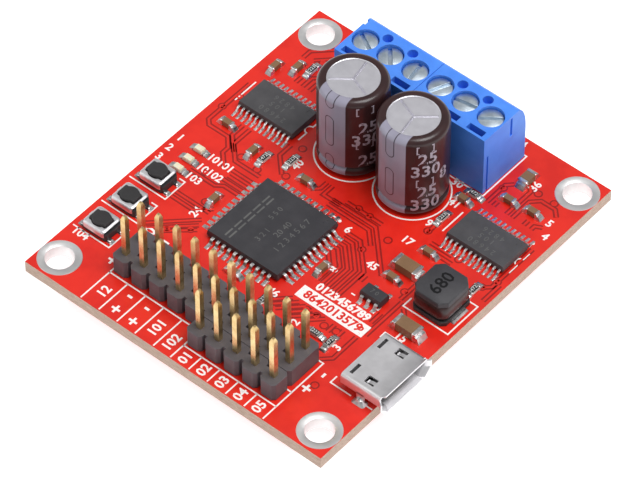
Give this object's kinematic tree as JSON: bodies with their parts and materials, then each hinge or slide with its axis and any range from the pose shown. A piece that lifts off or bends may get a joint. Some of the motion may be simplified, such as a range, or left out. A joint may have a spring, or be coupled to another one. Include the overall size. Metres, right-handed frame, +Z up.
{
  "type": "dual motor driver board",
  "caption": "Red two-channel motor driver circuit board with blue screw terminal, pin headers, electrolytic capacitors, push buttons and a micro USB socket.",
  "frame": {"origin": "middle of the circuit board's outline, on its underside", "axes": "+X along the header edge towards the micro USB socket's mouth, +Y from the headers to the screw terminal, +Z up through the side with the parts"},
  "size_m": [0.0428, 0.0486, 0.0151],
  "materials": {
    "solder_mask": "glossy red solder mask over woven glass laminate with tan edges",
    "header_plastic": "matte dark insulator; its pins are gold plated",
    "terminal_plastic": "satin moulded blue plastic",
    "zinc_plate": "bright zinc plate",
    "tinned_brass": "tin-plated brass",
    "capacitor_film": "glossy shrunk film, dark brown with a pale stripe",
    "aluminium": "satin drawn aluminium",
    "rubber": "matte rubber; its leads are tinned wire",
    "black_plastic": "matte moulded black plastic",
    "bright_steel": "bright tin-plated steel sheet",
    "chip_black": "matte moulding compound; its leads are tin plated",
    "ferrite": "matte dark grey ferrite",
    "coated_wire": "dark resin over enamelled wire",
    "ceramic_tan": "fired tan ceramic; its ends are tinned",
    "lens_cream": "cream tinted resin lens"
  },
  "bodies": {
    "board": {"pcb": "solder_mask", "header_2x10": "header_plastic", "header_1x5": "header_plastic", "terminal_housing": "terminal_plastic", "terminal_contact_1": "tinned_brass", "terminal_contact_2": "tinned_brass", "terminal_contact_3": "tinned_brass", "terminal_contact_4": "tinned_brass", "terminal_contact_5": "tinned_brass", "terminal_contact_6": "tinned_brass", "capacitor_sleeve_1": "capacitor_film", "capacitor_can_1": "aluminium", "capacitor_seal_1": "rubber", "capacitor_sleeve_2": "capacitor_film", "capacitor_can_2": "aluminium", "capacitor_seal_2": "rubber", "button_base_1": "black_plastic", "button_dome_1": "bright_steel", "button_cover_1": "bright_steel", "button_base_2": "black_plastic", "button_dome_2": "bright_steel", "button_cover_2": "bright_steel", "button_base_3": "black_plastic", "button_dome_3": "bright_steel", "button_cover_3": "bright_steel", "usb_shell": "bright_steel", "usb_insulator": "black_plastic", "controller_chip": "chip_black", "driver_chip_1": "chip_black", "driver_chip_2": "chip_black", "regulator_chip": "chip_black", "inductor_base": "black_plastic", "inductor_core": "ferrite", "inductor_winding": "coated_wire", "bulk_chip_capacitor_1": "ceramic_tan", "bulk_chip_capacitor_2": "ceramic_tan", "indicator_light_1": "lens_cream", "indicator_light_2": "lens_cream", "indicator_light_3": "lens_cream"},
    "screw_1": {"terminal_screw_1": "zinc_plate"},
    "clamp_1": {"terminal_clamp_1": "zinc_plate"},
    "screw_2": {"terminal_screw_2": "zinc_plate"},
    "clamp_2": {"terminal_clamp_2": "zinc_plate"},
    "screw_3": {"terminal_screw_3": "zinc_plate"},
    "clamp_3": {"terminal_clamp_3": "zinc_plate"},
    "screw_4": {"terminal_screw_4": "zinc_plate"},
    "clamp_4": {"terminal_clamp_4": "zinc_plate"},
    "screw_5": {"terminal_screw_5": "zinc_plate"},
    "clamp_5": {"terminal_clamp_5": "zinc_plate"},
    "screw_6": {"terminal_screw_6": "zinc_plate"},
    "clamp_6": {"terminal_clamp_6": "zinc_plate"},
    "plunger_1": {"button_plunger_1": "black_plastic"},
    "plunger_2": {"button_plunger_2": "black_plastic"},
    "plunger_3": {"button_plunger_3": "black_plastic"}
  },
  "joints": [
    {"name": "screw_1_turn", "type": "hinge", "parent": "board", "child": "screw_1", "pos_m": [-0.00879, 0.01798, 0.0098], "axis": [0, 0, -1], "range_deg": [0, 1800]},
    {"name": "clamp_1_rise", "type": "slide", "parent": "board", "child": "clamp_1", "axis": [0, 0, 1], "range_m": [0, 0.002]},
    {"name": "screw_2_turn", "type": "hinge", "parent": "board", "child": "screw_2", "pos_m": [-0.00529, 0.01798, 0.0098], "axis": [0, 0, -1], "range_deg": [0, 1800]},
    {"name": "clamp_2_rise", "type": "slide", "parent": "board", "child": "clamp_2", "axis": [0, 0, 1], "range_m": [0, 0.002]},
    {"name": "screw_3_turn", "type": "hinge", "parent": "board", "child": "screw_3", "pos_m": [-0.00179, 0.01798, 0.0098], "axis": [0, 0, -1], "range_deg": [0, 1800]},
    {"name": "clamp_3_rise", "type": "slide", "parent": "board", "child": "clamp_3", "axis": [0, 0, 1], "range_m": [0, 0.002]},
    {"name": "screw_4_turn", "type": "hinge", "parent": "board", "child": "screw_4", "pos_m": [0.00171, 0.01798, 0.0098], "axis": [0, 0, -1], "range_deg": [0, 1800]},
    {"name": "clamp_4_rise", "type": "slide", "parent": "board", "child": "clamp_4", "axis": [0, 0, 1], "range_m": [0, 0.002]},
    {"name": "screw_5_turn", "type": "hinge", "parent": "board", "child": "screw_5", "pos_m": [0.00521, 0.01798, 0.0098], "axis": [0, 0, -1], "range_deg": [0, 1800]},
    {"name": "clamp_5_rise", "type": "slide", "parent": "board", "child": "clamp_5", "axis": [0, 0, 1], "range_m": [0, 0.002]},
    {"name": "screw_6_turn", "type": "hinge", "parent": "board", "child": "screw_6", "pos_m": [0.00871, 0.01798, 0.0098], "axis": [0, 0, -1], "range_deg": [0, 1800]},
    {"name": "clamp_6_rise", "type": "slide", "parent": "board", "child": "clamp_6", "axis": [0, 0, 1], "range_m": [0, 0.002]},
    {"name": "button_1_press", "type": "slide", "parent": "board", "child": "plunger_1", "axis": [0, 0, -1], "range_m": [0, 0.00025], "stiffness_N_per_m": 6000, "deforming": ["button_dome_1"]},
    {"name": "button_2_press", "type": "slide", "parent": "board", "child": "plunger_2", "axis": [0, 0, -1], "range_m": [0, 0.00025], "stiffness_N_per_m": 6000, "deforming": ["button_dome_2"]},
    {"name": "button_3_press", "type": "slide", "parent": "board", "child": "plunger_3", "axis": [0, 0, -1], "range_m": [0, 0.00025], "stiffness_N_per_m": 6000, "deforming": ["button_dome_3"]}
  ],
  "couplings": [
    {"joint": "clamp_1_rise", "follows": "screw_1_turn", "m_per_rad": 0.000063656},
    {"joint": "clamp_2_rise", "follows": "screw_2_turn", "m_per_rad": 0.000063656},
    {"joint": "clamp_3_rise", "follows": "screw_3_turn", "m_per_rad": 0.000063656},
    {"joint": "clamp_4_rise", "follows": "screw_4_turn", "m_per_rad": 0.000063656},
    {"joint": "clamp_5_rise", "follows": "screw_5_turn", "m_per_rad": 0.000063656},
    {"joint": "clamp_6_rise", "follows": "screw_6_turn", "m_per_rad": 0.000063656}
  ]
}
